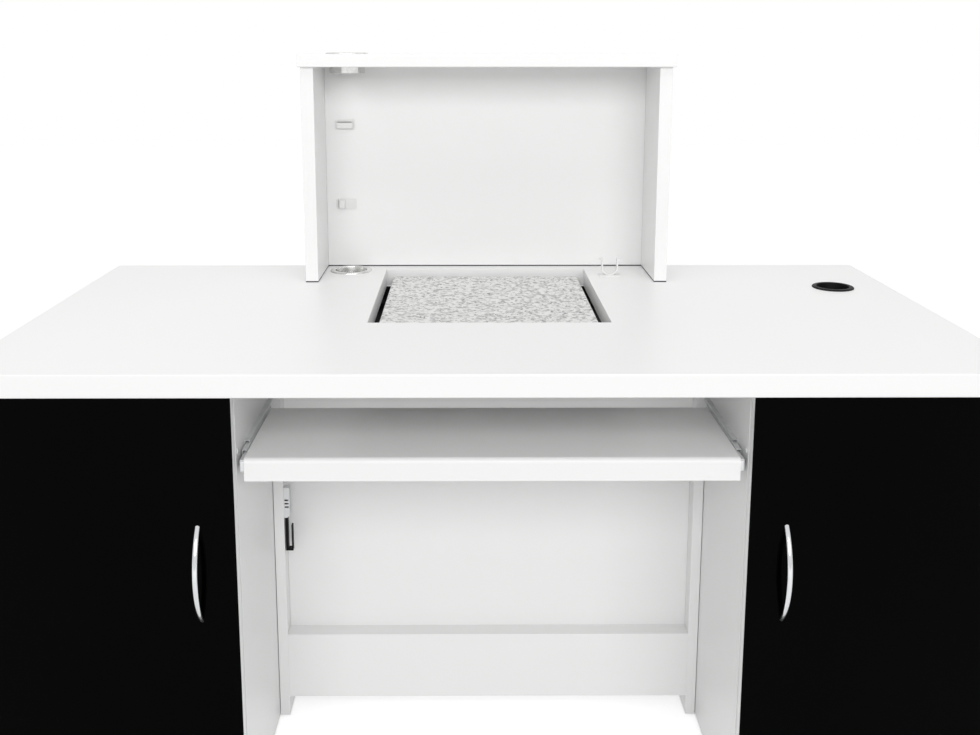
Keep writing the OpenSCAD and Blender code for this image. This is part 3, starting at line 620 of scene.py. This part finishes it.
def makeHandle(side, values):
    low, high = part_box(side + "_handle")
    middle, face = (low + high) / 2, high.y
    reach, half = high.y - low.y, (high.z - low.z) / 2
    outer = (half * half + reach * reach) / (2 * reach)
    radius = outer - values["thickness"] / 2
    centre = Vector((middle.x, low.y + outer, middle.z))
    swing = math.asin(half / outer) + math.radians(values["overrun"])
    deselectAll()
    bpy.ops.mesh.primitive_circle_add(
        vertices=values["sectionSides"], radius=0.5,
        location=centre + radius * Vector((0, -math.cos(swing), -math.sin(swing))), rotation=(swing, 0, 0),
    )
    piece = nameNew(side + "_bow_handle")
    piece.scale = (values["width"], values["thickness"], 1)
    applyPlace(piece)
    editAll(piece)
    bpy.ops.mesh.spin(steps=values["steps"], angle=2 * swing, center=centre, axis=(1, 0, 0))
    bpy.ops.mesh.select_all(action="SELECT")
    bpy.ops.mesh.bisect(
        plane_co=(middle.x, face, middle.z), plane_no=(0, 1, 0), use_fill=True, clear_outer=True
    )
    leaveEdit()
    cleanMesh(piece, values["smoothAngle"])
    finishPiece(piece, side + "_door", "chrome", (side + "_handle",))


for side in ("left", "right"):
    makeHandle(side, bowHandle)
print("bow handles spun")


# Screw heads: one pan head with a cross recess, copied wherever a head shows

panHead = {
    "radius": 0.004, "height": 0.0025, "sides": 40, "recess": 0.0045, "recessWidth": 0.0011,
    "recessDepth": 0.0015, "smoothAngle": 40,
    # rounding of the rim and reach of the cutter above z = 0, in heights of the head
    "rounding": 0.45, "roundingSteps": 4, "cutterTop": 1.5,
}


def makeScrewHead(values):
    # The head stands on z = 0 round the Z axis, a size that each copy scales
    radius, height = values["radius"], values["height"]
    deselectAll()
    bpy.ops.mesh.primitive_cylinder_add(
        vertices=values["sides"], radius=radius, depth=height, location=(0, 0, height / 2)
    )
    head = nameNew("screw_head")
    applyPlace(head)
    roundFace(
        head, lambda normal: normal.z > meshLimits["facing"],
        height * values["rounding"], values["roundingSteps"],
    )
    half, width = values["recess"] / 2, values["recessWidth"] / 2
    floor, roof = height - values["recessDepth"], height * values["cutterTop"]
    bars = [
        addBox("bar_a", (-half, -width, floor), (half, width, roof)),
        addBox("bar_b", (-width, -half, floor), (width, half, roof)),
    ]
    for bar in bars:
        cutAway(head, bar)
        removePiece(bar)
    cleanMesh(head, values["smoothAngle"])
    return head


screwHead = makeScrewHead(panHead)


def placeHead(name, place, outward, radius, height):
    # A copy of the head, scaled, with its axis turned to the outward direction
    pickOnly(screwHead)
    bpy.ops.object.duplicate()
    head = nameNew(name)
    head.scale = (radius / panHead["radius"], radius / panHead["radius"], height / panHead["height"])
    applyPlace(head)
    head.rotation_euler = Vector(outward).to_track_quat("Z", "Y").to_euler()
    head.location = place
    applyPlace(head)
    return head


wallScrew = {"headHeight": 0.0015}
handleScrew = {"headHeight": 0.0025, "shankRadius": 0.0019, "sides": 24, "chamfer": 0.0003}
# Hinge screws: three in each leaf, their heads level with its face. Half the gap between the closed
# leaves lies between that face and the middle of the hinge
hingeScrews = {
    "radius": 0.003, "height": 0.0006, "proud": 0.00004, "halfGap": 0.0001,
    "inset": 0.008, "hinge": 0.06, "pitch": 0.02,
}


def makeWallScrews(values):
    low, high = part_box("wall_screws")
    radius = (high.z - low.z) / 2
    heads = []
    for direction, x in ((1, low.x), (-1, high.x)):
        place = (x, (low.y + high.y) / 2, (low.z + high.z) / 2)
        heads.append(placeHead("wall_head", place, (direction, 0, 0), radius, values["headHeight"]))
    piece = joinPieces(heads, "wall_screw_heads")
    finishPiece(piece, "root", "zinc_steel", ("wall_screws",))


def makeHandleScrews(side, values):
    low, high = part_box(side + "_handle_screws")
    middle, headRadius = (low.x + high.x) / 2, (high.x - low.x) / 2
    seat = high.y - values["headHeight"]
    parts = []
    for z in (low.z + headRadius, high.z - headRadius):
        parts.append(placeHead("handle_head", (middle, seat, z), (0, 1, 0), headRadius, values["headHeight"]))
        deselectAll()
        bpy.ops.mesh.primitive_cylinder_add(
            vertices=values["sides"], radius=values["shankRadius"], depth=seat - low.y,
            location=(middle, (low.y + seat) / 2, z), rotation=(math.radians(90), 0, 0),
        )
        rod = nameNew("handle_shank")
        applyPlace(rod)
        bevelPiece(rod, values["chamfer"], 1)
        parts.append(rod)
    piece = joinPieces(parts, side + "_handle_screw_set")
    finishPiece(piece, side + "_door", "zinc_steel", (side + "_handle_screws",))


def makeHingeScrews(node, body, outward, values):
    low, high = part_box(node)
    first, last = low.z + values["hinge"] / 2, high.z - values["hinge"] / 2
    seat = (low.y + high.y) / 2 + outward * (values["proud"] - values["height"] - values["halfGap"])
    if low.x < 0 < high.x:
        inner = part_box("right_hinge_leaves")[0].x
        columns = [-inner - values["inset"], inner + values["inset"]]
    elif low.x > 0:
        columns = [low.x + values["inset"]]
    else:
        columns = [high.x - values["inset"]]
    heads = []
    for x in columns:
        for middle in (first, (first + last) / 2, last):
            for step in (-1, 0, 1):
                heads.append(placeHead(
                    "leaf_head", (x, seat, middle + step * values["pitch"]), (0, outward, 0),
                    values["radius"], values["height"],
                ))
    piece = joinPieces(heads, node + "_screws")
    finishPiece(piece, body, "zinc_steel")


makeWallScrews(wallScrew)
for side in ("left", "right"):
    makeHandleScrews(side, handleScrew)
    makeHingeScrews(side + "_hinge_leaves", side + "_door", 1, hingeScrews)
makeHingeScrews("hinge_frame_leaves", "root", -1, hingeScrews)
print("screws placed")


# Magnetic catches: a moulded body, two steel pole plates at its mouth and two screws

magneticCatch = {
    "body": 0.0105, "mouth": 0.0025, "rounding": 0.0012, "roundingSteps": 3,
    # a pole's place in shares of the body's thickness, its height in shares of the body's
    "pole": 0.0022, "poleOffsets": (0.25, 0.75), "poleHeight": 0.8, "poleDepth": 0.004, "poleChamfer": 0.0003,
    "headRadius": 0.0035, "headHeight": 0.0018, "pitch": 0.026,
}


def makeCatches(values):
    low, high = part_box("door_catches")
    middle, poleHalf = (low.z + high.z) / 2, values["poleHeight"] * (high.z - low.z) / 2
    front, thickness = low.y + values["mouth"], values["pole"]
    for name, side in (("left", -1), ("right", 1)):
        near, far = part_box(name + "_inner_side")
        wall = near.x if side < 0 else far.x
        face = wall + side * values["body"]
        edges = sorted((wall, face))
        body = addBox(name + "_catch_body", (edges[0], front, low.z), (edges[1], high.y, high.z))
        bevelPiece(body, values["rounding"], values["roundingSteps"])
        cleanMesh(body)
        finishPiece(body, "root", "white_plastic", ("door_catches",) if side < 0 else ())
        parts = []
        for offset in values["poleOffsets"]:
            centre = wall + side * values["body"] * offset
            pole = addBox(
                "pole", (centre - thickness / 2, low.y, middle - poleHalf),
                (centre + thickness / 2, front + values["poleDepth"], middle + poleHalf),
            )
            bevelPiece(pole, values["poleChamfer"], 1)
            parts.append(pole)
        for step in (-0.5, 0.5):
            place = (face, (front + high.y) / 2, middle + step * values["pitch"])
            parts.append(placeHead(
                "catch_head", place, (side, 0, 0), values["headRadius"], values["headHeight"]
            ))
        metal = joinPieces(parts, name + "_catch_metal")
        finishPiece(metal, "root", "zinc_steel")


makeCatches(magneticCatch)
print("catches made")


# Slides: the small rounded end that closes each inner member towards the user

slideEnd = {
    "channel": 0.007, "sheet": 0.001, "ahead": 0.003, "behind": 0.002,
    "rounding": 0.0022, "roundingSteps": 5, "smoothAngle": 50,
}


def makeSlideEnds(values):
    low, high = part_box("slide_inners")
    ends = []
    for side in (-1, 1):
        edges = sorted((side * high.x, side * (high.x - values["channel"])))
        end = addBox(
            "slide_end", (edges[0], low.y - values["ahead"], low.z + values["sheet"]),
            (edges[1], low.y + values["behind"], high.z - values["sheet"]),
        )
        roundFace(
            end, lambda normal: normal.y < -meshLimits["facing"], values["rounding"], values["roundingSteps"]
        )
        cleanMesh(end, values["smoothAngle"])
        ends.append(end)
    piece = joinPieces(ends, "slide_ends")
    finishPiece(piece, "tray", "zinc_steel")


makeSlideEnds(slideEnd)
print("slide ends made")

removePiece(screwHead)


# Floor, light and surroundings

studio = {
    "floorSize": 24.0, "floorLevel": -0.0005, "floorGlow": 0.49, "worldLight": 0.56,
    "floor": {"shade": (0.88, 0.88, 0.88), "light": (0.90, 0.90, 0.90), "driftScale": 0.6},
    "floorShader": {"Roughness": 0.7, "Specular IOR Level": 0.1},
    "lamps": [
        # name, place, aim, size, power, shown in reflections, lights the floor
        ("keyLamp", (0.2, -4.1, 2.5), (0.0, 0.0, 0.6), (4.6, 1.6), 96.0, True, True),
        ("topLamp", (0.0, -0.8, 3.8), (0.0, -0.1, 0.6), (3.0, 1.6), 28.0, True, False),
        ("backLamp", (-0.6, 4.0, 2.2), (0.0, 0.0, 0.6), (4.6, 1.6), 44.0, False, False),
    ],
}
white, black = (1, 1, 1, 1), (0, 0, 0, 1)


def makeFloor(values):
    # The floor glows for the camera and in reflections only, so that it looks pale without lighting the desk
    deselectAll()
    bpy.ops.mesh.primitive_plane_add(size=values["floorSize"], location=(0, 0, values["floorLevel"]))
    floor = nameNew("floor")
    applyPlace(floor)
    material, tree, shader, place = startMaterial("paleFloor", values["floorShader"])
    feedColour(tree, shader, place, values["floor"])
    path = tree.nodes.new("ShaderNodeLightPath").outputs
    glow = addNode(tree, "ShaderNodeEmission", {"Color": white, "Strength": values["floorGlow"]})
    dark = addNode(tree, "ShaderNodeEmission", {"Color": black, "Strength": 0.0})
    seen = mathNode(tree, "MAXIMUM", path["Is Camera Ray"], path["Is Glossy Ray"])
    chosen = mixShaders(tree, seen, dark.outputs["Emission"], glow.outputs["Emission"])
    total = addNode(tree, "ShaderNodeAddShader", {0: shader.outputs["BSDF"], 1: chosen})
    tree.links.new(total.outputs["Shader"], tree.nodes["Material Output"].inputs["Surface"])
    floor.data.materials.append(material)
    return floor


def makeWorld(values):
    # White for the camera, in reflections and through glass, and a weaker light for everything else
    world = bpy.data.worlds.new("studioWorld")
    bpy.context.scene.world = world
    world.use_nodes = True
    tree = world.node_tree
    light = tree.nodes["Background"]
    light.inputs["Color"].default_value = white
    light.inputs["Strength"].default_value = values["worldLight"]
    shown = addNode(tree, "ShaderNodeBackground", {"Color": white, "Strength": 1.0})
    path = tree.nodes.new("ShaderNodeLightPath").outputs
    seen = mathNode(tree, "MAXIMUM", path["Is Camera Ray"], path["Is Glossy Ray"])
    seen = mathNode(tree, "MAXIMUM", seen, path["Is Transmission Ray"])
    chosen = mixShaders(tree, seen, light.outputs["Background"], shown.outputs["Background"])
    tree.links.new(chosen, tree.nodes["World Output"].inputs["Surface"])


def makeLamps(values, floor):
    # The lamps above and behind leave the floor out, so that it keeps a soft shadow and stays even
    leftOut = bpy.data.collections.new("notLit")
    leftOut.objects.link(floor)
    leftOut.collection_objects[0].light_linking.link_state = "EXCLUDE"
    for name, place, aim, size, power, reflected, onFloor in values["lamps"]:
        data = bpy.data.lights.new(name, "AREA")
        data.shape = "RECTANGLE"
        data.size, data.size_y = size
        data.energy = power
        lamp = bpy.data.objects.new(name, data)
        lamp.location = place
        lamp.visible_glossy = reflected
        if not onFloor:
            lamp.light_linking.receiver_collection = leftOut
        lamp.rotation_euler = (Vector(aim) - Vector(place)).to_track_quat("-Z", "Y").to_euler()
        bpy.context.scene.collection.objects.link(lamp)


floor = makeFloor(studio)
makeWorld(studio)
makeLamps(studio, floor)
bpy.context.scene.view_settings.view_transform = "Standard"
print("studio ready")
